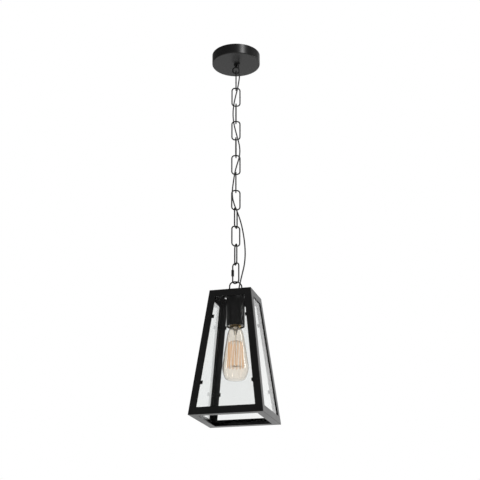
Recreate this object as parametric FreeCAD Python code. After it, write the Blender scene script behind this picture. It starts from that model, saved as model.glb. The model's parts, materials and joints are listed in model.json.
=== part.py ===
import FreeCAD, Part
import math
import os
from FreeCAD import Matrix, Vector

# A tapered square lantern that hangs from a ceiling canopy on a chain, with a
# supply cord woven through the links. All sizes are in millimetres. The origin
# is the centre of the canopy's rim, on the ceiling, and +Z points up. The
# lantern's front face looks along -Y.

# driving dimensions: canopy
canopy_diameter = 130.0
canopy_height = 28.0
canopy_wall = 1.2
canopy_rounding = 2.0
collar_radius = 6.0
collar_height = 4.0
neck_radius = 3.5
bracket_length = 100.0
bracket_width = 22.0
bracket_thickness = 2.5
bracket_slot_spacing = 70.0
bracket_slot_length = 12.0
bracket_slot_width = 5.0
shank_diameter = 8.0
shank_nut_across_flats = 12.0
shank_nut_height = 5.0
terminal_pitch = 8.0
terminal_offset = 28.0
terminal_size = (16.0, 24.0, 12.0)
terminal_screw_radius = 1.6

# driving dimensions: chain
wire = 3.5
contact_gap = 0.3
link_length = 57.4
link_width = 25.0
link_corner = 8.25
link_count = 11
chain_turn = 15.5
link_turns = [90, 3, 91, -2, 88, 2, 90, 4, 72, 20, 104]
eye_width = 20.5
eye_length = 20.5
eye_corner = 6.0
eye_drop = 54.0

# driving dimensions: quick link and its sleeve nut
quick_link_length = 57.3
quick_link_width = 23.0
quick_link_turn = 142.0
quick_link_gap_low = 1.5
quick_link_gap_high = 8.0
sleeve_length = 16.0
sleeve_across_flats = 6.6

# driving dimensions: lantern frame, folded from steel angle
lantern_height = 316.0
base_width = 184.0
top_width = 106.0
plate = 2.0
face_leg = 18.0
side_leg = 19.0
edge_rounding = 1.2
ring_radius = 15.75
ring_bend = 13.75
ring_turn = 13.0
ring_above_top = 2.2
ring_boss_radius = 4.5
ring_boss_height = 3.0
ring_shank_radius = 3.0
ring_shank_length = 22.0
ring_nut_across_flats = 8.0
ring_nut_height = 4.0
crossbar_width = 18.0
crossbar_end_gap = 4.0
crossbar_screw_inset = 6.0
crossbar_screw_radius = 1.55
screw_head_radius = 2.8
screw_head_height = 1.8

# driving dimensions: glass and the clips that hold it
glass = 3.0
pane_cover = 5.0
clip_plate = 1.2
clip_height = 9.0
clip_overhang = 4.0
clip_heights = [0.25, 0.78]
clip_screw_inset = 7.5
clip_screw_radius = 1.5
clip_head_radius = 2.6
clip_head_height = 1.4

# driving dimensions: cup, lampholder and bulb, as depths below the lantern's top
cup_diameter = 46.0
cup_depth = 84.0
cup_wall = 1.2
cup_rounding = 1.5
holder_diameter = 38.0
holder_top = 13.0
holder_bottom = 82.0
holder_rounding = 3.0
chamber_top = 53.0
lead_radius = 1.0
lead_offset = 10.0
shell_radius = 13.9
shell_wall = 0.5
cap_radius = 13.1
cap_skirt_radius = 14.5
cap_skirt_height = 4.0
cap_top = 62.0
cap_bottom = 88.0
thread_pitch = 3.4
thread_turns = 5
insulator_height = 2.0

# the bulb's envelope, from the cap down to where it is widest: radius and depth
bulb_outline = [(14.5, 88.0), (18.0, 97.0), (22.6, 119.0), (26.9, 143.5), (30.6, 169.0), (32.6, 193.0)]
bulb_bottom = 219.0
bulb_wall = 0.8

# driving dimensions: the bulb's stem and filament cage
stem_disc_radius = 13.6
stem_tube_length = 16.0
stem_rod_radius = 1.6
stem_bead_radius = 2.8
stem_bead = 184.0
cage_top = 124.0
cage_low = 188.0
cage_top_radius = 12.0
cage_low_radius = 18.0
cage_strands = 12
filament_radius = 0.35
support_radius = 0.3

# driving dimensions: supply cord
cord_diameter = 3.5
bush_flange = 7.0
bush_shoulder = 1.0
bush_lip = 1.5
play = 0.05
upper_bush = (7.0, -7.0)
lower_bush = (7.5, -4.5)

# places worked out from the sizes above
pitch = link_length - 2 * wire - contact_gap
contact = wire + contact_gap
quick_link_top = -eye_drop - link_count * pitch + contact
quick_link_middle = quick_link_top - (quick_link_length - wire) / 2
quick_link_bottom = quick_link_top - (quick_link_length - wire)
ring_middle = quick_link_bottom + contact - ring_radius
lantern_top = ring_middle - ring_radius - ring_above_top
lantern_base = lantern_top - lantern_height
slope = (base_width - top_width) / 2 / lantern_height
lean = math.atan(slope)
under_top = lantern_top - plate
crossbar_length = top_width - 2 * plate - 2 * crossbar_end_gap
crossbar_screw_place = crossbar_length / 2 - crossbar_screw_inset
cup_ceiling = under_top - plate - cup_wall
bush_radius = bush_flange / 2
sleeve_radius = bush_radius - bush_shoulder

Z = Vector(0, 0, 1)

# The cord's route in the chain's own frame, turned by chain_turn about Z:
# across, towards the back, and height. It starts in the canopy's bush, weaves
# through the links, bows free beside the last two and ends in the crossbar's bush.
cord_route = [
    (7, -7, -31.1),
    (7.2, -7.2, -42),
    (8.5, -6.8, -54),
    (9.5, -6, -66),
    (8, -5.5, -80),
    (4.5, -5, -103),
    (-1, -5, -126),
    (-5.5, -5.2, -149),
    (-8, -5, -172),
    (-7.5, -5.2, -195),
    (-4, -5, -218),
    (1.5, -5, -241),
    (7.5, -5.5, -264),
    (11, -6.5, -287),
    (9, -8, -310),
    (2.5, -11, -333),
    (-3, -13.5, -356),
    (-6, -14.2, -379),
    (-9, -14.5, -402),
    (-9.5, -14, -425),
    (-3.5, -13, -448),
    (6, -10.5, -471),
    (13.5, -7, -494),
    (18.5, -3.5, -517),
    (22, -1, -540),
    (24, 0.5, -563),
    (24, 1, -586),
    (21.5, 0, -609),
    (16, -1.2, -632),
    (11, -3, -655),
    (8.4, -4.4, -668),
    (7.6, -4.8, -677),
    (7.5, -4.5, -685.3),
]


def turned(shape, degrees):
    """The shape turned about the vertical axis through the origin."""
    copy = shape.copy()
    copy.rotate(Vector(0, 0, 0), Z, degrees)
    return copy


def cylinder(radius, bottom, top, x=0.0, y=0.0):
    """An upright cylinder between two heights."""
    return Part.makeCylinder(radius, top - bottom, Vector(x, y, bottom))


def block(width, depth, bottom, top, x=0.0, y=0.0):
    """An upright block centred on x, y between two heights."""
    return Part.makeBox(width, depth, top - bottom, Vector(x - width / 2, y - depth / 2, bottom))


def hexagon(across_flats, bottom, top, hole):
    """A hexagonal nut with a plain hole."""
    corner = across_flats / math.sqrt(3)
    points = [
        Vector(corner * math.cos(math.radians(60 * k)), corner * math.sin(math.radians(60 * k)), bottom)
        for k in range(7)
    ]
    prism = Part.Face(Part.makePolygon(points)).extrude(Vector(0, 0, top - bottom))
    return prism.cut(cylinder(hole, bottom - 1, top + 1))


def rounded_loop(width, length, corner, diameter, middle):
    """A closed loop of round wire in the XZ plane, as a rounded rectangle."""
    half_x = width / 2
    half_z = length / 2
    low = middle - half_z
    high = middle + half_z
    diagonal = corner * math.sqrt(0.5)

    def line(x0, z0, x1, z1):
        return Part.LineSegment(Vector(x0, 0, z0), Vector(x1, 0, z1)).toShape()

    def bend(centre_x, centre_z, sign_x, sign_z):
        start = Vector(centre_x + sign_x * corner, 0, centre_z)
        through = Vector(centre_x + sign_x * diagonal, 0, centre_z + sign_z * diagonal)
        end = Vector(centre_x, 0, centre_z + sign_z * corner)
        return start, through, end

    right_low = bend(half_x - corner, low + corner, 1, -1)
    right_high = bend(half_x - corner, high - corner, 1, 1)
    left_high = bend(-half_x + corner, high - corner, -1, 1)
    left_low = bend(-half_x + corner, low + corner, -1, -1)
    edges = [
        line(half_x, middle, half_x, high - corner),
        Part.Arc(*right_high).toShape(),
        line(half_x - corner, high, -half_x + corner, high),
        Part.Arc(*reversed(left_high)).toShape(),
        line(-half_x, high - corner, -half_x, low + corner),
        Part.Arc(*left_low).toShape(),
        line(-half_x + corner, low, half_x - corner, low),
        Part.Arc(*reversed(right_low)).toShape(),
        line(half_x, low + corner, half_x, middle),
    ]
    section = Part.Wire(Part.makeCircle(diameter / 2, Vector(half_x, 0, middle), Z))
    return Part.Wire(edges).makePipeShell([section], True, True)


def half_width(height):
    """The frame's outer half width at a height above its base."""
    return base_width / 2 - slope * height


def pyramid(x_inset, y_inset, low=0.0, high=lantern_height):
    """The frame's tapered outline, brought in by level insets, between two heights above its base."""
    def rectangle(height):
        x = half_width(height) - x_inset
        y = half_width(height) - y_inset
        z = lantern_base + height
        corners = [Vector(-x, -y, z), Vector(x, -y, z), Vector(x, y, z), Vector(-x, y, z)]
        return Part.makePolygon(corners + corners[:1])

    return Part.makeLoft([rectangle(low), rectangle(high)], True, True)


def level(distance):
    """A distance square to a leaning face, measured level instead."""
    return distance / math.cos(lean)


def bush_hole(place, bottom, top):
    """The round hole that a cord bush's sleeve sits in."""
    return turned(cylinder(sleeve_radius + play, bottom, top, *place), chain_turn)


def canopy_shell():
    outer = cylinder(canopy_diameter / 2, -canopy_height, 0)
    outer = outer.makeFillet(canopy_rounding, [e for e in outer.Edges if e.BoundBox.ZMax < -1])
    inner = cylinder(canopy_diameter / 2 - canopy_wall, canopy_wall - canopy_height, 1)
    shell = outer.cut(inner)
    shell = shell.cut(cylinder(shank_diameter / 2 + play, -canopy_height - 1, 0))
    return shell.cut(bush_hole(upper_bush, -canopy_height - 1, 0))


def ceiling_bracket():
    strap = block(bracket_length, bracket_width, -bracket_thickness, 0)
    strap = strap.cut(cylinder(shank_diameter / 2 + play, -bracket_thickness - 1, 1))
    for side in (-1, 1):
        middle = side * bracket_slot_spacing / 2
        straight = bracket_slot_length - bracket_slot_width
        slot = block(straight, bracket_slot_width, -bracket_thickness - 1, 1, middle)
        for end in (-1, 1):
            place = middle + end * straight / 2
            slot = slot.fuse(cylinder(bracket_slot_width / 2, -bracket_thickness - 1, 1, place))
        strap = strap.cut(slot)
    return strap


def canopy_eye():
    """The eye that carries the chain: a wire loop, its neck and collar, and the shank up to the bracket."""
    loop_middle = -eye_drop + (eye_length - wire) / 2
    loop_top = -eye_drop + eye_length - wire
    collar_low = -canopy_height - collar_height
    loop = rounded_loop(eye_width - wire, eye_length - wire, eye_corner, wire, loop_middle)
    collar = cylinder(collar_radius, collar_low, -canopy_height)
    neck = cylinder(neck_radius, loop_top - 0.5, collar_low + 1)
    shank = cylinder(shank_diameter / 2, -canopy_height, -0.5)
    return turned(loop.fuse([collar, neck, shank]).removeSplitter(), chain_turn)


def canopy_nut():
    low = canopy_wall - canopy_height
    return hexagon(shank_nut_across_flats, low, low + shank_nut_height, shank_diameter / 2 + play)


def bracket_nut():
    low = -bracket_thickness - shank_nut_height
    return hexagon(shank_nut_across_flats, low, -bracket_thickness, shank_diameter / 2 + play)


def bush(place, panel_low, panel_high, reach):
    """A cord bush in a panel: flange below, sleeve through it and a lip above."""
    sleeve = cylinder(sleeve_radius, panel_low, panel_high, *place)
    flange = cylinder(bush_radius, panel_low - reach, panel_low, *place)
    lip = cylinder(bush_radius, panel_high, panel_high + bush_lip, *place)
    whole = sleeve.fuse([flange, lip]).removeSplitter()
    return turned(whole, chain_turn)


def terminal_poles():
    return [terminal_pitch * k for k in (-1, 0, 1)]


def terminal_block():
    """The housing under the bracket, with three wire holes and a screw well over each."""
    width, depth, height = terminal_size
    low = -bracket_thickness - height
    wire_height = -bracket_thickness - 7
    housing = block(width, depth, low, -bracket_thickness, -terminal_offset)
    for y in terminal_poles():
        start = Vector(-terminal_offset - width / 2 - 2, y, wire_height)
        housing = housing.cut(Part.makeCylinder(2.0, width + 4, start, Vector(1, 0, 0)))
        housing = housing.cut(cylinder(terminal_screw_radius, low - 1, wire_height, -terminal_offset, y))
    return housing


def terminal_screws():
    low = -bracket_thickness - terminal_size[2]
    radius = terminal_screw_radius - play
    return Part.makeCompound([
        cylinder(radius, low, low + 4, -terminal_offset, y) for y in terminal_poles()
    ])


def chain_link(number):
    middle = -eye_drop + contact - (number - 1) * pitch - (link_length - wire) / 2
    loop = rounded_loop(link_width - wire, link_length - wire, link_corner, wire, middle)
    return turned(loop, chain_turn + link_turns[number - 1])


def quick_link():
    width = quick_link_width - wire
    length = quick_link_length - wire
    loop = rounded_loop(width, length, link_corner, wire, quick_link_middle)
    leg = -width / 2
    low = quick_link_middle + quick_link_gap_low
    high = quick_link_middle + quick_link_gap_high
    return turned(loop.cut(cylinder(wire, low, high, leg)), chain_turn - 180 + quick_link_turn)


def quick_link_sleeve():
    high = quick_link_middle + quick_link_gap_high + 2.0
    nut = hexagon(sleeve_across_flats, high - sleeve_length, high, wire / 2 + 0.05)
    nut.translate(Vector(-(quick_link_width - wire) / 2, 0, 0))
    return turned(nut, chain_turn - 180 + quick_link_turn)


def lantern_loop():
    """The ring, the boss it is welded to and the shank down through the crossbar and the cup."""
    ring = rounded_loop(2 * ring_radius, 2 * ring_radius, ring_bend, wire, ring_middle)
    boss = cylinder(ring_boss_radius, under_top, lantern_top + ring_boss_height)
    shank = cylinder(ring_shank_radius, lantern_top - ring_shank_length, lantern_top)
    return turned(ring.fuse([boss, shank]).removeSplitter(), chain_turn + ring_turn)


def crossbar():
    low = under_top - plate
    bar = block(crossbar_length, crossbar_width, low, under_top)
    bar = bar.cut(cylinder(ring_shank_radius + play, low - 1, under_top + 1))
    bar = bar.cut(bush_hole(lower_bush, low - 1, under_top + 1))
    return bar.cut(crossbar_screw_holes())


def crossbar_screw_holes():
    """The holes in the crossbar and the side rails that its two screws pass through."""
    low = under_top - plate - 1
    high = lantern_top + 1
    radius = crossbar_screw_radius + play
    return Part.makeCompound([
        cylinder(radius, low, high, side * crossbar_screw_place) for side in (-1, 1)
    ])


def crossbar_screws():
    low = under_top - plate
    screws = []
    for side in (-1, 1):
        place = side * crossbar_screw_place
        shank = cylinder(crossbar_screw_radius, low, lantern_top - 0.2, place)
        head = cylinder(screw_head_radius, low - screw_head_height, low, place)
        head = head.makeFillet(0.8, [e for e in head.Edges if e.BoundBox.ZMax < low - 1])
        screws.append(shank.fuse(head).removeSplitter())
    return Part.makeCompound(screws)


def cup():
    high = cup_ceiling + cup_wall
    low = lantern_top - cup_depth
    outer = cylinder(cup_diameter / 2, low, high)
    outer = outer.makeFillet(cup_rounding, [e for e in outer.Edges if e.BoundBox.ZMin > high - 1])
    shell = outer.cut(cylinder(cup_diameter / 2 - cup_wall, low - 1, cup_ceiling))
    shell = shell.cut(cylinder(ring_shank_radius + play, low, high + 1))
    return shell.cut(bush_hole(lower_bush, low, high + 1))


def loop_nut():
    low = cup_ceiling - ring_nut_height
    return hexagon(ring_nut_across_flats, low, cup_ceiling, ring_shank_radius + play)


def holder_body():
    """The porcelain holder: a bore for the screw shell, one for the ring's shank and two for the leads."""
    low = lantern_top - holder_bottom
    high = lantern_top - holder_top
    chamber = lantern_top - chamber_top
    shank_end = lantern_top - ring_shank_length - 1
    body = cylinder(holder_diameter / 2, low, high)
    body = body.makeFillet(holder_rounding, [e for e in body.Edges if e.BoundBox.ZMin > high - 1])
    body = body.cut(cylinder(shell_radius + shell_wall, low - 1, chamber))
    body = body.cut(cylinder(ring_shank_radius + play, shank_end, high + 1))
    for side in (-1, 1):
        body = body.cut(cylinder(lead_radius + 0.2, chamber - 1, high + 1, 0, side * lead_offset))
    return body


def holder_shell():
    low = lantern_top - holder_bottom
    high = lantern_top - chamber_top - 2.5
    return cylinder(shell_radius + shell_wall, low, high).cut(cylinder(shell_radius, low - 1, high + 1))


def holder_contact():
    """The plate at the top of the holder's bore and the tongue that reaches down to the bulb's tip."""
    high = lantern_top - chamber_top
    strap = block(16.0, 6.0, high - 1.0, high)
    tongue = block(5.0, 5.0, lantern_top - cap_top + insulator_height + 1.2, high - 1.0)
    return strap.fuse(tongue).removeSplitter()


def holder_leads():
    high = lantern_top - holder_top + 4.0
    return Part.makeCompound([
        cylinder(lead_radius, lantern_top - chamber_top, high, 0, side * lead_offset) for side in (-1, 1)
    ])


def bulb_profile(inset):
    """The envelope's half outline, from the neck down to the tip, drawn in by an inset."""
    points = [Vector(radius - inset, 0, lantern_top - depth) for radius, depth in bulb_outline]
    widest = bulb_outline[-1][0] - inset
    points.append(Vector(widest * 0.82, 0, lantern_top - bulb_bottom + 7.4 + inset * 0.7))
    points.append(Vector(0, 0, lantern_top - bulb_bottom + inset))
    spline = Part.BSplineCurve()
    spline.interpolate(
        Points=points,
        InitialTangent=Vector(0.3, 0, -1),
        FinalTangent=Vector(-1, 0, 0),
    )
    return spline.toShape()


def bulb_glass():
    high = lantern_top - cap_bottom
    low = lantern_top - bulb_bottom
    neck = bulb_outline[0][0]
    outer = bulb_profile(0.0)
    inner = bulb_profile(bulb_wall)
    rim = Part.LineSegment(Vector(neck, 0, high), Vector(neck - bulb_wall, 0, high)).toShape()
    tip = Part.LineSegment(Vector(0, 0, low + bulb_wall), Vector(0, 0, low)).toShape()
    outline = Part.Wire(Part.__sortEdges__([outer, rim, inner, tip]))
    return Part.Face(outline).revolve(Vector(0, 0, 0), Z, 360)


def bulb_cap():
    """The screw cap: a plain skirt, a grooved barrel and a conical nose, hollow from below."""
    low = lantern_top - cap_bottom
    high = lantern_top - cap_top
    barrel_low = low + cap_skirt_height
    nose_low = high - 3.0
    skirt = cylinder(cap_skirt_radius, low, barrel_low)
    thread = cylinder(cap_radius, barrel_low, nose_low)
    for k in range(thread_turns):
        groove = Vector(0, 0, barrel_low + 2.5 + thread_pitch * k)
        thread = thread.cut(Part.makeTorus(cap_radius + 0.35, 0.9, groove, Z))
    nose = Part.makeCone(cap_radius, 9.0, high - nose_low, Vector(0, 0, nose_low))
    whole = skirt.fuse([thread, nose])
    return whole.cut(cylinder(11.0, low - 1, low + 17.0)).removeSplitter()


def bulb_insulator():
    return Part.makeCone(9.0, 5.5, insulator_height, Vector(0, 0, lantern_top - cap_top))


def bulb_tip():
    low = lantern_top - cap_top + insulator_height
    button = cylinder(4.8, low, low + 0.8)
    return button.makeFillet(0.35, [e for e in button.Edges if e.BoundBox.ZMin > low + 0.5])


def bulb_stem():
    """The pressed glass mount: a disc in the neck, a flared tube and a long rod with a bead."""
    high = lantern_top - cap_bottom
    tube_low = high - stem_tube_length - 1
    bead_height = lantern_top - stem_bead
    disc = cylinder(stem_disc_radius, high - 1, high)
    tube = Part.makeCone(3.0, 6.0, stem_tube_length, Vector(0, 0, tube_low))
    rod = cylinder(stem_rod_radius, bead_height, tube_low)
    bead = Part.makeSphere(stem_bead_radius, Vector(0, 0, bead_height))
    return disc.fuse([tube, rod, bead]).removeSplitter()


def strand_end(number, radius, depth):
    angle = math.radians(360.0 * number / cage_strands)
    return Vector(radius * math.cos(angle), radius * math.sin(angle), lantern_top - depth)


def rod_between(start, end, radius):
    """A round rod between two points."""
    along = end - start
    return Part.makeCylinder(radius, along.Length, start, along)


def bulb_supports():
    """The stiff wires out from the rod: one to every second strand's top and one to the others' feet."""
    wires = []
    for number in range(0, cage_strands, 2):
        upper_root = strand_end(number, stem_rod_radius + support_radius + 0.3, cage_top - 5.0)
        upper_hook = strand_end(number, cage_top_radius, cage_top - 0.6)
        lower_root = strand_end(number + 1, stem_bead_radius + 0.1, stem_bead)
        lower_hook = strand_end(number + 1, cage_low_radius, cage_low + 0.6)
        wires.append(rod_between(upper_root, upper_hook, support_radius))
        wires.append(rod_between(lower_root, lower_hook, support_radius))
    return Part.makeCompound(wires)


def bulb_filament():
    strands = []
    for number in range(cage_strands):
        upper = strand_end(number, cage_top_radius + 0.7, cage_top + 0.6)
        lower = strand_end(number, cage_low_radius + 0.7, cage_low - 0.6)
        strands.append(rod_between(upper, lower, filament_radius))
    return Part.makeCompound(strands)


def frame_shell():
    """The four leaning plates of the frame, with their outer edges rounded."""
    outer = pyramid(0, 0)
    outer = outer.makeFillet(edge_rounding, outer.Edges)
    inner = pyramid(level(plate), level(plate), -5.0, lantern_height + 5.0)
    return outer.cut(inner)


def quadrant(sign_x, sign_y):
    """A box that holds one quarter of the lantern."""
    reach = base_width
    start = Vector(0 if sign_x > 0 else -reach, 0 if sign_y > 0 else -reach, lantern_base - 10)
    return Part.makeBox(reach, reach, lantern_height + 20, start)


def slab(axis, inset):
    """Everything between two leaning planes, each an inset in from the frame's outer faces."""
    if axis == "x":
        return pyramid(level(inset), -50.0, -8.0, lantern_height + 8.0)
    return pyramid(-50.0, level(inset), -8.0, lantern_height + 8.0)


def post(shell, sign_x, sign_y):
    corner = shell.common(quadrant(sign_x, sign_y))
    return corner.cut(slab("x", face_leg)).cut(slab("y", side_leg))


def ledge(low):
    """The level leg of the front rail, mitred at both ends, its lower face at a height above the base."""
    bottom = lantern_base + low - 1
    top = lantern_base + low + plate + 1
    inner = pyramid(level(plate), level(plate), low, low + plate)
    opening = half_width(low + plate / 2) - side_leg
    reach = base_width
    corners = [Vector(0, 0, bottom), Vector(-reach, -reach, bottom), Vector(reach, -reach, bottom)]
    wedge = Part.Face(Part.makePolygon(corners + corners[:1])).extrude(Vector(0, 0, top - bottom))
    return inner.common(wedge).cut(block(2 * opening, 2 * opening, bottom, top))


def rail(shell, turn, top):
    """One rail between two posts, with its upright leg in the leaning face and a level leg inside."""
    facing = turned(shell, -turn)
    post_leg = face_leg if turn in (0, 180) else side_leg
    low = lantern_base + (lantern_height - face_leg if top else 0.0)
    band = block(base_width, base_width / 2, low, low + face_leg, 0, -base_width / 4)
    upright = facing.common(band).common(slab("x", post_leg))
    shelf = ledge(lantern_height - plate if top else 0.0)
    return turned(upright.fuse(shelf).removeSplitter(), turn)


def pane(turn):
    """A flat sheet of glass behind one face's legs."""
    low = plate
    high = lantern_height - plate - 1.5
    edge = (face_leg if turn in (0, 180) else side_leg) - pane_cover
    sheet = pyramid(0, level(plate), low, high).cut(pyramid(-1.0, level(plate + glass), low - 1, high + 1))
    sheet = sheet.common(slab("x", edge))
    front = block(base_width, base_width, lantern_base, lantern_top, 0, -base_width / 2)
    return turned(sheet.common(front), turn)


def clip_band(share):
    middle = lantern_base + share * lantern_height
    return middle - clip_height / 2, middle + clip_height / 2


def glass_clips():
    """Folded corner clips behind the panes, two on each post."""
    clips = []
    near = level(plate + glass)
    far = level(plate + glass + clip_plate)
    bent = pyramid(near, near, 0, lantern_height).cut(pyramid(far, far, -5, lantern_height + 5))
    bent = bent.cut(slab("x", face_leg + clip_overhang)).cut(slab("y", side_leg + clip_overhang))
    for share in clip_heights:
        low, high = clip_band(share)
        strip = bent.common(block(base_width, base_width, low, high))
        for sign_x in (-1, 1):
            for sign_y in (-1, 1):
                clips.append(strip.common(quadrant(sign_x, sign_y)))
    return clips


def clip_place(share, sign_x, sign_y):
    """Where a clip's screw meets the outer face, and the direction out of that face."""
    height = share * lantern_height
    across = sign_x * (half_width(height) - clip_screw_inset)
    outward = Vector(0, sign_y * math.cos(lean), math.sin(lean))
    return Vector(across, sign_y * half_width(height), lantern_base + height), outward


def clip_hole(*where):
    """The hole that a clip's screw takes through the leg and the clip."""
    start, outward = clip_place(*where)
    depth = plate + glass + clip_plate
    return Part.makeCylinder(clip_screw_radius, depth + 1, start - outward * (depth + 0.5), outward)


def clip_screw(*where):
    """A pan-head screw through the post's front or back leg into the clip, square to the face."""
    start, outward = clip_place(*where)
    depth = plate + glass + clip_plate
    shank = Part.makeCylinder(clip_screw_radius - play, depth, start - outward * depth, outward)
    head = Part.makeCylinder(clip_head_radius, clip_head_height, start, outward)
    head = head.makeFillet(0.9, [head.Edges[0]])
    return shank.fuse(head).removeSplitter()


def clip_spacer(*where):
    """A short tube round the screw, as thick as the glass, between the leg and the clip."""
    start, outward = clip_place(*where)
    inside = start - outward * (plate + glass)
    tube = Part.makeCylinder(clip_head_radius, glass, inside, outward)
    return tube.cut(Part.makeCylinder(clip_screw_radius, glass, inside, outward))


def cord_path(points):
    """Straight runs joined by tangent arcs as large as the runs allow."""
    runs = [(points[k + 1] - points[k]).Length for k in range(len(points) - 1)]
    edges = []
    start = points[0]
    radii = []
    for k in range(1, len(points) - 1):
        before = (points[k] - points[k - 1]).normalize()
        after = (points[k + 1] - points[k]).normalize()
        half_turn = before.getAngle(after) / 2
        cut_back = 0.45 * min(runs[k - 1], runs[k])
        radii.append(cut_back / math.tan(half_turn))
        arc_start = points[k] - before * cut_back
        arc_end = points[k] + after * cut_back
        bisector = (after - before).normalize()
        centre = points[k] + bisector * (cut_back / math.sin(half_turn))
        through = centre - bisector * radii[-1]
        edges.append(Part.LineSegment(start, arc_start).toShape())
        edges.append(Part.Arc(arc_start, through, arc_end).toShape())
        start = arc_end
    edges.append(Part.LineSegment(start, points[-1]).toShape())
    return Part.Wire(edges), radii


def supply_cord():
    points = [Vector(*place) for place in cord_route]
    path, radii = cord_path(points)
    heading = points[1] - points[0]
    section = Part.Wire(Part.makeCircle(cord_diameter / 2, points[0], heading))
    tube = path.makePipeShell([section], True, False)
    expected = math.pi * cord_diameter ** 2 / 4 * path.Length
    print("cord length %.1f, volume over section times length %.4f" % (path.Length, tube.Volume / expected))
    print("cord radii", " ".join("%.0f" % r for r in radii))
    return turned(tube, chain_turn)


def write(name, shape):
    for solid in shape.Solids:
        if not solid.isValid():
            print("not valid:", name)
    if len(shape.Solids) == 1:
        shape = shape.Solids[0]
    shape.exportStep("parts/%s.step" % name)


def write_canopy():
    write("ceiling_bracket", ceiling_bracket())
    write("canopy_shell", canopy_shell())
    write("canopy_eye", canopy_eye())
    write("canopy_nut", canopy_nut())
    write("bracket_nut", bracket_nut())
    write("canopy_cord_bush", bush(upper_bush, -canopy_height, canopy_wall - canopy_height, 3.0))
    write("terminal_block", terminal_block())
    write("terminal_screws", terminal_screws())


def write_chain():
    for number in range(1, link_count + 1):
        write("chain_link_%02d" % number, chain_link(number))
    write("quick_link", quick_link())
    write("quick_link_sleeve", quick_link_sleeve())
    write("supply_cord", supply_cord())


def write_holder_and_bulb():
    write("lantern_loop", lantern_loop())
    write("crossbar", crossbar())
    write("crossbar_screws", crossbar_screws())
    write("crossbar_cord_bush", bush(lower_bush, cup_ceiling, under_top, 1.5))
    write("cup", cup())
    write("loop_nut", loop_nut())
    write("holder_body", holder_body())
    write("holder_shell", holder_shell())
    write("holder_contact", holder_contact())
    write("holder_leads", holder_leads())
    write("bulb_glass", bulb_glass())
    write("bulb_cap", bulb_cap())
    write("bulb_insulator", bulb_insulator())
    write("bulb_tip", bulb_tip())
    write("bulb_stem", bulb_stem())
    write("bulb_supports", bulb_supports())
    write("bulb_filament", bulb_filament())


def write_frame():
    shell = frame_shell()
    corners = {
        "front_left": (-1, -1),
        "front_right": (1, -1),
        "back_right": (1, 1),
        "back_left": (-1, 1),
    }
    sides = {"front": 0, "right": 90, "back": 180, "left": 270}
    clip_places = [(share, *signs) for signs in corners.values() for share in clip_heights]
    holes = Part.makeCompound([clip_hole(*where) for where in clip_places])
    for name, signs in corners.items():
        write("post_" + name, post(shell, *signs).cut(holes))
    for name, turn in sides.items():
        write("top_rail_" + name, rail(shell, turn, True).cut(crossbar_screw_holes()))
        write("bottom_rail_" + name, rail(shell, turn, False))
        write("pane_" + name, pane(turn))
    write("glass_clips", Part.makeCompound([clip.cut(holes) for clip in glass_clips()]))
    write("clip_screws", Part.makeCompound([clip_screw(*where) for where in clip_places]))
    write("clip_spacers", Part.makeCompound([clip_spacer(*where) for where in clip_places]))


os.makedirs("parts", exist_ok=True)
write_canopy()
write_chain()
write_holder_and_bulb()
write_frame()
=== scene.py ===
import json
import math

import bmesh
import bpy
from mathutils import Matrix, Vector


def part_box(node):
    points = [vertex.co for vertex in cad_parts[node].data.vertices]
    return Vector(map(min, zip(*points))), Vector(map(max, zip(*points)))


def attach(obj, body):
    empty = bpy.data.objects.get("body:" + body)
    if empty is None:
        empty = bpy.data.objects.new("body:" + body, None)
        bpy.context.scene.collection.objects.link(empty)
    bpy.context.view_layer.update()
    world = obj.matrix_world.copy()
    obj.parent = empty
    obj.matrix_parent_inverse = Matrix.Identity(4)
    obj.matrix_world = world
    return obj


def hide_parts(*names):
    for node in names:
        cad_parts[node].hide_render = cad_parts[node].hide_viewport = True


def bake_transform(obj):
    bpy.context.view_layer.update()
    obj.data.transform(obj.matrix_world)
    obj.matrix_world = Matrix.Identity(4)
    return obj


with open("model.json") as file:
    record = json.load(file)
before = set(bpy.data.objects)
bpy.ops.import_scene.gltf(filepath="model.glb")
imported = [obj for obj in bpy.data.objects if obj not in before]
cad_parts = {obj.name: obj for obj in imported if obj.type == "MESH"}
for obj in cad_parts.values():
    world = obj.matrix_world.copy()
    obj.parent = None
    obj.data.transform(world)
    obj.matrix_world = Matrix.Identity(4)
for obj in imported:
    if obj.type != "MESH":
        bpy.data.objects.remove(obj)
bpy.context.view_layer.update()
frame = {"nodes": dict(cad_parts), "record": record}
nodes = frame["nodes"]

# places read from the frame
LANTERN_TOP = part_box("post_front_left")[1].z
LANTERN_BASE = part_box("post_front_left")[0].z
CANOPY_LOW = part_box("canopy_shell")[0].z
CUP_HEIGHT = LANTERN_TOP - 0.045
LINKS = sorted(name for name in nodes if name.startswith("chain_link_"))

# the turn of the chain, and of the cord wound through it, about the plumb line
CHAIN_TURN = math.radians(15.5)

# the camera: far enough for a long lens, below the lantern and a little to its right
VIEW_AZIMUTH = math.radians(15.15)
VIEW_DISTANCE = 2.5
VIEW_ASIDE = 0.0108
VIEW_BELOW_BASE = 0.4576
VIEW_PITCH = math.radians(20.207)
LENS = 77.85
SENSOR_WIDTH = 36.0
FARTHEST_SEEN = 50.0

# the floor's height, size and own light
FLOOR = LANTERN_BASE - 1.4
FLOOR_SIZE = 14
FLOOR_GLOW = 0.5

# the light tent: its brightest side, how far round from it the light fades, and the light left beyond
TENT_BRIGHT_SIDE = (0, 0.9, -0.45)
TENT_FADE_START = 0.8
TENT_FADE_END = 0.25
TENT_DIM = 0.12

# the lamps: angle to the right of the front, distance, height, height aimed at, width and height, watts
KEY_LAMP = (46, 2.6, 1.4, CANOPY_LOW, (0.4, 1.2), 34)
SIDE_LAMP = (107, 2.0, CUP_HEIGHT + 0.57, CUP_HEIGHT, (0.3, 1.6), 10)

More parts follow.
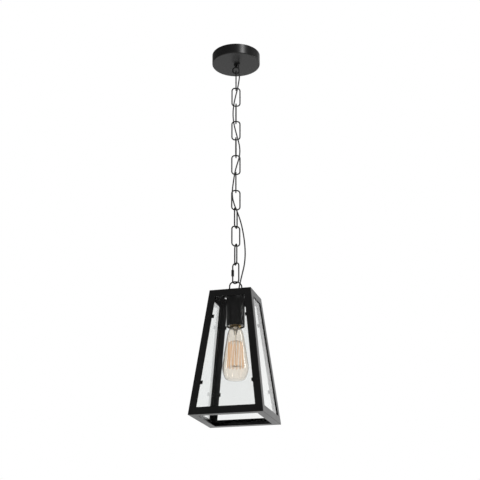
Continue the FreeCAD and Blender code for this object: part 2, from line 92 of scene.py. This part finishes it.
# the supply cord's route in the chain's own frame: across, towards the back, height, in metres
CORD_DIAMETER = 0.0035
CORD_ROUTE = [
    (0.007, -0.007, -0.0311),
    (0.0072, -0.0072, -0.042),
    (0.0085, -0.0068, -0.054),
    (0.0095, -0.006, -0.066),
    (0.008, -0.0055, -0.08),
    (0.0045, -0.005, -0.103),
    (-0.001, -0.005, -0.126),
    (-0.0055, -0.0052, -0.149),
    (-0.008, -0.005, -0.172),
    (-0.0075, -0.0052, -0.195),
    (-0.004, -0.005, -0.218),
    (0.0015, -0.005, -0.241),
    (0.0075, -0.0055, -0.264),
    (0.011, -0.0065, -0.287),
    (0.009, -0.008, -0.31),
    (0.0025, -0.011, -0.333),
    (-0.003, -0.0135, -0.356),
    (-0.006, -0.0142, -0.379),
    (-0.009, -0.0145, -0.402),
    (-0.0095, -0.014, -0.425),
    (-0.0035, -0.013, -0.448),
    (0.006, -0.0105, -0.471),
    (0.0135, -0.007, -0.494),
    (0.0185, -0.0035, -0.517),
    (0.022, -0.001, -0.54),
    (0.024, 0.0005, -0.563),
    (0.024, 0.001, -0.586),
    (0.0215, 0, -0.609),
    (0.016, -0.0012, -0.632),
    (0.011, -0.003, -0.655),
    (0.0084, -0.0044, -0.668),
    (0.0076, -0.0048, -0.677),
    (0.0075, -0.0045, -0.6853),
]

# the bulb's filament cage: loops, top radius over foot radius, and how far its foot passes its CAD solid
CAGE_LOOPS = 13
CAGE_TAPER = 0.86
CAGE_SPREAD = 0.0012
HOOK_RADIUS = 0.0011
HOOK_STEPS = 8
FILAMENT_RADIUS = 0.00065

# the hooks' wires, from their roots on the stem to the filament's bends
SUPPORT_RADIUS = 0.00028
ROOT_RADIUS = 0.0017
TOP_ROOT_RISE = 0.006
FOOT_ROOT_RISE = 0.003
BEND_SHARE = 0.7
BEND_RISE = 0.0006

# the weld on each chain link
WIRE_RADIUS = 0.00175
WELD_LENGTH = 0.0036
WELD_SWELL = 0.0003
WELD_SINK = 0.00005
WELD_ROUGHNESS = 0.00006
WELD_STEPS = 8
SAME_HEIGHT = 0.0002

# points round a cord, a fine wire and a weld
CORD_AROUND = 16
WIRE_AROUND = 8
WELD_AROUND = 20


# ---------------------------------------------------------------- materials

def material(name):
    """A node material holding one Principled shader; returns the material, its nodes, links and shader."""
    made = bpy.data.materials.new(name)
    made.use_nodes = True
    tree = made.node_tree
    return made, tree.nodes, tree.links, tree.nodes["Principled BSDF"]


def noise(tree_nodes, links, scale, detail):
    """A noise texture measured in the object's own space."""
    place = tree_nodes.new("ShaderNodeTexCoord")
    texture = tree_nodes.new("ShaderNodeTexNoise")
    texture.inputs["Scale"].default_value = scale
    texture.inputs["Detail"].default_value = detail
    texture.inputs["Roughness"].default_value = 0.55
    links.new(place.outputs["Object"], texture.inputs["Vector"])
    return texture


def ramp(tree_nodes, links, source, stops):
    """A colour ramp over a source value; stops are (place, colour or grey)."""
    made = tree_nodes.new("ShaderNodeValToRGB")
    bar = made.color_ramp.elements
    while len(bar) < len(stops):
        bar.new(0.5)
    for element, (place, colour) in zip(bar, stops):
        element.position = place
        grey = not hasattr(colour, "__len__")
        element.color = (colour, colour, colour, 1) if grey else (*colour, 1)
    links.new(source, made.inputs["Fac"])
    return made


def bump(tree_nodes, links, shader, height, strength, distance):
    """Lets a height pattern tilt the shader's surface; the distance is in metres."""
    made = tree_nodes.new("ShaderNodeBump")
    made.inputs["Strength"].default_value = strength
    made.inputs["Distance"].default_value = distance
    links.new(height, made.inputs["Height"])
    links.new(made.outputs["Normal"], shader.inputs["Normal"])


def powder_coat(name, dark, light, rough_low, rough_high, grain, shine):
    """Black powder coat: a fine orange-peel grain and faint cloudiness."""
    made, tree_nodes, links, shader = material(name)
    shader.inputs["Specular IOR Level"].default_value = shine
    cloud = noise(tree_nodes, links, 9.0, 3.0)
    tone = ramp(tree_nodes, links, cloud.outputs["Fac"], [(0.3, dark), (0.7, light)])
    links.new(tone.outputs["Color"], shader.inputs["Base Color"])
    fine = noise(tree_nodes, links, grain, 2.0)
    rough = ramp(tree_nodes, links, cloud.outputs["Fac"], [(0.3, rough_low), (0.75, rough_high)])
    links.new(rough.outputs["Color"], shader.inputs["Roughness"])
    bump(tree_nodes, links, shader, fine.outputs["Fac"], 0.12, 0.00002)
    return made


def glass(name, tint, roughness):
    """Clear glass, faintly smeared."""
    made, tree_nodes, links, shader = material(name)
    shader.inputs["Base Color"].default_value = (*tint, 1)
    shader.inputs["Transmission Weight"].default_value = 1.0
    shader.inputs["IOR"].default_value = 1.45
    smear = noise(tree_nodes, links, 14.0, 4.0)
    rough = ramp(tree_nodes, links, smear.outputs["Fac"], [(0.45, 0.0), (0.8, roughness)])
    links.new(rough.outputs["Color"], shader.inputs["Roughness"])
    return made


def metal(name, colour, rough_low, rough_high, scale):
    """Bare metal, mottled in colour and polish."""
    made, tree_nodes, links, shader = material(name)
    shader.inputs["Metallic"].default_value = 1.0
    mottle = noise(tree_nodes, links, scale, 5.0)
    darker = tuple(c * 0.78 for c in colour)
    tone = ramp(tree_nodes, links, mottle.outputs["Fac"], [(0.35, darker), (0.7, colour)])
    links.new(tone.outputs["Color"], shader.inputs["Base Color"])
    rough = ramp(tree_nodes, links, mottle.outputs["Fac"], [(0.3, rough_high), (0.7, rough_low)])
    links.new(rough.outputs["Color"], shader.inputs["Roughness"])
    bump(tree_nodes, links, shader, mottle.outputs["Fac"], 0.15, 0.0001)
    return made


def moulded(name, colour, roughness):
    """A moulded or glazed surface with a fine grain."""
    made, tree_nodes, links, shader = material(name)
    grain = noise(tree_nodes, links, 900.0, 2.0)
    tone = noise(tree_nodes, links, 30.0, 2.0)
    darker = tuple(c * 0.85 for c in colour)
    colours = ramp(tree_nodes, links, tone.outputs["Fac"], [(0.3, darker), (0.7, colour)])
    links.new(colours.outputs["Color"], shader.inputs["Base Color"])
    shader.inputs["Roughness"].default_value = roughness
    bump(tree_nodes, links, shader, grain.outputs["Fac"], 0.2, 0.0001)
    return made


def glow(name, colour):
    """A hot filament: its light varies a little along the strand."""
    made, tree_nodes, links, shader = material(name)
    shader.inputs["Base Color"].default_value = (0.02, 0.012, 0.008, 1)
    shader.inputs["Roughness"].default_value = 0.6
    hot = noise(tree_nodes, links, 160.0, 2.0)
    darker = tuple(c * 0.9 for c in colour)
    tone = ramp(tree_nodes, links, hot.outputs["Fac"], [(0.35, darker), (0.65, colour)])
    links.new(tone.outputs["Color"], shader.inputs["Emission Color"])
    shader.inputs["Emission Strength"].default_value = 1.0
    return made


def jacket(name):
    """A braided black jacket: crossed fine waves along the cord."""
    made, tree_nodes, links, shader = material(name)
    place = tree_nodes.new("ShaderNodeTexCoord")
    waves = []
    for direction in ("X", "Z"):
        wave = tree_nodes.new("ShaderNodeTexWave")
        wave.wave_type = "BANDS"
        wave.bands_direction = direction
        wave.inputs["Scale"].default_value = 420.0
        wave.inputs["Distortion"].default_value = 0.6
        links.new(place.outputs["Object"], wave.inputs["Vector"])
        waves.append(wave)
    both = tree_nodes.new("ShaderNodeMath")
    both.operation = "MULTIPLY"
    links.new(waves[0].outputs["Fac"], both.inputs[0])
    links.new(waves[1].outputs["Fac"], both.inputs[1])
    tone = ramp(tree_nodes, links, both.outputs["Value"], [(0.0, 0.012), (1.0, 0.045)])
    links.new(tone.outputs["Color"], shader.inputs["Base Color"])
    shader.inputs["Roughness"].default_value = 0.62
    shader.inputs["Sheen Weight"].default_value = 0.3
    bump(tree_nodes, links, shader, both.outputs["Value"], 0.5, 0.0002)
    return made


MATERIALS = {
    "black_metal": powder_coat("black_powder_coat", 0.010, 0.015, 0.28, 0.36, 2600.0, 0.4),
    "chain_metal": powder_coat("black_chain_paint", 0.007, 0.011, 0.34, 0.44, 2200.0, 0.3),
    "zinc_steel": metal("zinc_plate", (0.62, 0.63, 0.65), 0.28, 0.42, 60.0),
    "black_plastic": moulded("black_moulding", (0.02, 0.02, 0.021), 0.5),
    "white_plastic": moulded("white_moulding", (0.8, 0.79, 0.76), 0.45),
    "pane_glass": glass("clear_pane", (0.95, 0.96, 0.955), 0.02),
    "bulb_glass": glass("blown_glass", (1.0, 0.955, 0.90), 0.01),
    "brass": metal("rolled_brass", (0.82, 0.58, 0.26), 0.22, 0.38, 70.0),
    "porcelain": moulded("glazed_porcelain", (0.85, 0.84, 0.8), 0.18),
    "lead_sleeve": moulded("lead_insulation", (0.3, 0.14, 0.07), 0.5),
    "support_wire": metal("support_wire", (0.6, 0.56, 0.52), 0.3, 0.45, 200.0),
    "filament": glow("hot_filament", (0.82, 0.52, 0.31)),
    "cord_jacket": jacket("braided_jacket"),
}


def dress(piece, slot_name):
    """Gives a piece its slot's material."""
    piece.data.materials.clear()
    piece.data.materials.append(MATERIALS[slot_name])


# ---------------------------------------------------------------- camera and studio

def studio():
    """The camera, the backdrop, the floor and the two lamps."""
    camera_data = bpy.data.cameras.new("camera")
    camera_data.lens = LENS
    camera_data.sensor_width = SENSOR_WIDTH
    camera_data.clip_end = FARTHEST_SEEN
    camera = bpy.data.objects.new("camera", camera_data)
    bpy.context.scene.collection.objects.link(camera)
    turn = Matrix.Rotation(VIEW_AZIMUTH, 4, "Z")
    stand = turn @ Vector((VIEW_ASIDE, -VIEW_DISTANCE, 0))
    camera.location = (stand.x, stand.y, LANTERN_BASE - VIEW_BELOW_BASE)
    camera.rotation_euler = (math.pi / 2 + VIEW_PITCH, 0, VIEW_AZIMUTH)
    bpy.context.scene.camera = camera
    bpy.context.scene.view_settings.view_transform = "Standard"

    backdrop()
    bpy.ops.mesh.primitive_plane_add(size=FLOOR_SIZE, location=(0, 0, FLOOR))
    floor = bpy.context.object
    floor.name = "floor"
    paint, _, _, shader = material("pale_floor")
    shader.inputs["Base Color"].default_value = (0.86, 0.86, 0.85, 1)
    shader.inputs["Roughness"].default_value = 0.8
    shader.inputs["Emission Color"].default_value = (1, 1, 1, 1)
    shader.inputs["Emission Strength"].default_value = FLOOR_GLOW
    floor.data.materials.append(paint)

    lamp("key", *KEY_LAMP)
    lamp("side", *SIDE_LAMP)


def backdrop():
    """A light tent: white behind and below, dim in front, and white wherever it is seen straight."""
    world = bpy.data.worlds.new("studio")
    world.use_nodes = True
    bpy.context.scene.world = world
    world_nodes = world.node_tree.nodes
    links = world.node_tree.links
    place = world_nodes.new("ShaderNodeTexCoord")
    along = world_nodes.new("ShaderNodeVectorMath")
    along.operation = "DOT_PRODUCT"
    along.inputs[1].default_value = Vector(TENT_BRIGHT_SIDE).normalized()
    links.new(place.outputs["Generated"], along.inputs[0])
    fade = world_nodes.new("ShaderNodeMapRange")
    fade.interpolation_type = "SMOOTHSTEP"
    fade.inputs["From Min"].default_value = TENT_FADE_END
    fade.inputs["From Max"].default_value = TENT_FADE_START
    fade.inputs["To Min"].default_value = TENT_DIM
    fade.inputs["To Max"].default_value = 1.0
    links.new(along.outputs["Value"], fade.inputs["Value"])

    # straight rays are the camera's own, and those that have only passed through glass
    ray = world_nodes.new("ShaderNodeLightPath")
    reflections = world_nodes.new("ShaderNodeMath")
    reflections.operation = "SUBTRACT"
    links.new(ray.outputs["Ray Depth"], reflections.inputs[0])
    links.new(ray.outputs["Transmission Depth"], reflections.inputs[1])
    straight = world_nodes.new("ShaderNodeMath")
    straight.operation = "LESS_THAN"
    straight.inputs[1].default_value = 0.5
    links.new(reflections.outputs["Value"], straight.inputs[0])
    seen = world_nodes.new("ShaderNodeMath")
    seen.operation = "MAXIMUM"
    links.new(ray.outputs["Is Camera Ray"], seen.inputs[0])
    links.new(straight.outputs["Value"], seen.inputs[1])
    strength = world_nodes.new("ShaderNodeMath")
    strength.operation = "MAXIMUM"
    links.new(seen.outputs["Value"], strength.inputs[0])
    links.new(fade.outputs["Result"], strength.inputs[1])
    links.new(strength.outputs["Value"], world_nodes["Background"].inputs["Strength"])
    world_nodes["Background"].inputs["Color"].default_value = (1, 1, 1, 1)


def lamp(name, azimuth, distance, height, aim_height, size, power):
    """A soft rectangular light, placed by its angle to the right of the front and aimed at the axis."""
    data = bpy.data.lights.new(name, "AREA")
    data.shape = "RECTANGLE"
    data.size, data.size_y = size
    data.energy = power
    light = bpy.data.objects.new(name, data)
    bpy.context.scene.collection.objects.link(light)
    angle = math.radians(azimuth)
    light.location = (distance * math.sin(angle), -distance * math.cos(angle), height)
    light.rotation_euler = (Vector((0, 0, aim_height)) - light.location).to_track_quat("-Z", "Y").to_euler()
    light.visible_camera = False


# ---------------------------------------------------------------- mesh helpers

def new_piece(name, mesh_maker, body, slot_name, *replaced):
    """A smooth mesh filled by mesh_maker(bmesh). It rides on the body, if given, and replaces CAD nodes."""
    shape = bmesh.new()
    mesh_maker(shape)
    bmesh.ops.recalc_face_normals(shape, faces=shape.faces)
    data = bpy.data.meshes.new(name)
    shape.to_mesh(data)
    shape.free()
    data.polygons.foreach_set("use_smooth", [True] * len(data.polygons))
    piece = bpy.data.objects.new(name, data)
    bpy.context.scene.collection.objects.link(piece)
    if body:
        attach(piece, body)
    if replaced:
        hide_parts(*replaced)
    dress(piece, slot_name)
    return piece


def frames_along(points):
    """For each point of a path: the point, and two directions square to the path that don't twist."""
    last = len(points) - 1
    tangents = []
    for k in range(len(points)):
        step = points[min(k + 1, last)] - points[max(k - 1, 0)]
        tangents.append(step.normalized())
    side = tangents[0].orthogonal().normalized()
    frames = []
    for point, tangent in zip(points, tangents):
        side = (side - tangent * side.dot(tangent)).normalized()
        frames.append((point, side, tangent.cross(side)))
    return frames


def skin(shape, rings):
    """Quads between each ring of points and the next."""
    around = len(rings[0])
    for low, high in zip(rings, rings[1:]):
        for k in range(around):
            after = (k + 1) % around
            shape.faces.new((low[k], low[after], high[after], high[k]))


def close_ends(shape, rings):
    """Flat faces over the first ring and the last."""
    shape.faces.new(reversed(rings[0]))
    shape.faces.new(rings[-1])


def tube(shape, points, radius, around, caps=True):
    """A round tube along points, as quads."""
    rings = []
    for point, side, other in frames_along(points):
        ring = []
        for k in range(around):
            angle = 2 * math.pi * k / around
            outward = side * math.cos(angle) + other * math.sin(angle)
            ring.append(shape.verts.new(point + outward * radius))
        rings.append(ring)
    skin(shape, rings)
    if caps:
        close_ends(shape, rings)


# ---------------------------------------------------------------- supply cord

def cord_line():
    """The cord's centreline: points read from the route's smooth spline."""
    curve = bpy.data.curves.new("cord_route", "CURVE")
    curve.dimensions = "3D"
    spline = curve.splines.new("NURBS")
    spline.points.add(len(CORD_ROUTE) - 1)
    turn = Matrix.Rotation(CHAIN_TURN, 3, "Z")
    for control, place in zip(spline.points, CORD_ROUTE):
        control.co = (*(turn @ Vector(place)), 1)
    spline.order_u = 3
    spline.use_endpoint_u = True
    spline.resolution_u = 12
    holder = bpy.data.objects.new("cord_route", curve)
    bpy.context.scene.collection.objects.link(holder)
    bpy.context.view_layer.update()
    flat = bpy.data.meshes.new_from_object(holder)
    points = [vertex.co.copy() for vertex in flat.vertices]
    bpy.data.objects.remove(holder)
    return points


def supply_cord():
    """The cord in stretches, end to end, one for each joint it passes."""
    points = cord_line()
    hanging = LINKS + ["quick_link"]
    chain = ["canopy"] + hanging + ["lantern"]
    middles = [(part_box(name)[0].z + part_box(name)[1].z) / 2 for name in hanging]
    ends = [points[0].z] + middles + [points[-1].z]
    for number, (upper, lower) in enumerate(zip(chain, chain[1:]), start=1):
        high = ends[number - 1]
        low = ends[number]
        first = min(range(len(points)), key=lambda k: abs(points[k].z - high))
        last = min(range(len(points)), key=lambda k: abs(points[k].z - low))
        stretch = points[first:last + 1]
        end_stretch = number in (1, len(chain) - 1)
        piece = new_piece(
            "supply_cord_%02d" % number,
            lambda shape: tube(shape, stretch, CORD_DIAMETER / 2, CORD_AROUND, caps=end_stretch),
            None, "cord_jacket", "supply_cord",
        )
        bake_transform(piece)


# ---------------------------------------------------------------- filament cage

def ring_point(angle, radius, height):
    """A point at an angle round the plumb line."""
    return Vector((radius * math.cos(angle), radius * math.sin(angle), height))


def filament_cage():
    """One long filament looped up and down round the stem, over hooks at its top and foot."""
    low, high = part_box("bulb_filament")
    foot_radius = high.x + CAGE_SPREAD
    top_radius = foot_radius * CAGE_TAPER
    path = []
    hooks = []
    for number in range(CAGE_LOOPS):
        top_angle = 2 * math.pi * number / CAGE_LOOPS
        foot_angle = 2 * math.pi * (number + 0.5) / CAGE_LOOPS
        for angle, radius, height, way in (
            (top_angle, top_radius, high.z, 1), (foot_angle, foot_radius, low.z, -1)
        ):
            centre = ring_point(angle, radius, height - way * HOOK_RADIUS)
            across = Vector((-math.sin(angle), math.cos(angle), 0))
            for step in range(HOOK_STEPS + 1):
                turn = math.pi * step / HOOK_STEPS
                place = centre - across * (HOOK_RADIUS * math.cos(turn))
                place.z += way * HOOK_RADIUS * math.sin(turn)
                path.append(place)
            hooks.append((centre, way))
    new_piece(
        "filament", lambda shape: tube(shape, path[:-1], FILAMENT_RADIUS, WIRE_AROUND),
        "bulb", "filament", "bulb_filament",
    )
    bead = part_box("bulb_stem")[0].z

    def hook_wires(shape):
        for centre, way in hooks:
            root_height = centre.z + TOP_ROOT_RISE if way > 0 else bead + FOOT_ROOT_RISE
            outward = Vector((centre.x, centre.y, 0)).normalized()
            root = Vector((0, 0, root_height)) + outward * ROOT_RADIUS
            tip = centre + Vector((0, 0, way * (HOOK_RADIUS - FILAMENT_RADIUS - SUPPORT_RADIUS)))
            bend = root.lerp(tip, BEND_SHARE)
            bend.z += BEND_RISE
            tube(shape, [root, root.lerp(bend, 0.5), bend, tip], SUPPORT_RADIUS, WIRE_AROUND)

    new_piece("filament_hooks", hook_wires, "bulb", "support_wire", "bulb_supports")


# ---------------------------------------------------------------- chain welds

def chain_welds():
    """The butt weld that closes each link: a slight collar half-way down one leg."""
    for name in LINKS:
        low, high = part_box(name)
        middle = (low.z + high.z) / 2
        ring = [v.co.copy() for v in nodes[name].data.vertices if abs(v.co.z - middle) < SAME_HEIGHT]
        centre = sum(ring, Vector()) / len(ring)
        new_piece(name + "_weld", lambda shape: weld_collar(shape, centre), name, "chain_metal")


def weld_collar(shape, centre):
    """A slightly uneven swelling round the wire; its two ends sink into the wire."""
    rows = []
    for row in range(WELD_STEPS + 1):
        share = row / WELD_STEPS
        height = (share - 0.5) * WELD_LENGTH
        swell = WELD_SWELL * math.sin(math.pi * share) ** 1.5
        inner_row = 0 < row < WELD_STEPS
        ring = []
        for k in range(WELD_AROUND):
            angle = 2 * math.pi * k / WELD_AROUND
            uneven = WELD_ROUGHNESS * math.sin(5 * angle + 7 * share) if inner_row else 0
            radius = WIRE_RADIUS - WELD_SINK + swell + uneven
            ring.append(shape.verts.new(centre + ring_point(angle, radius, height)))
        rows.append(ring)
    skin(shape, rows)
    close_ends(shape, rows)


# ---------------------------------------------------------------- carried-over nodes

def dress_nodes():
    """Gives each CAD node the material of the slot that the record names for it."""
    slots = {entry["node"]: entry["material_slot"] for entry in frame["record"]["subparts"]}
    for name, node in nodes.items():
        dress(node, slots[name])


studio()
dress_nodes()
supply_cord()
filament_cage()
chain_welds()
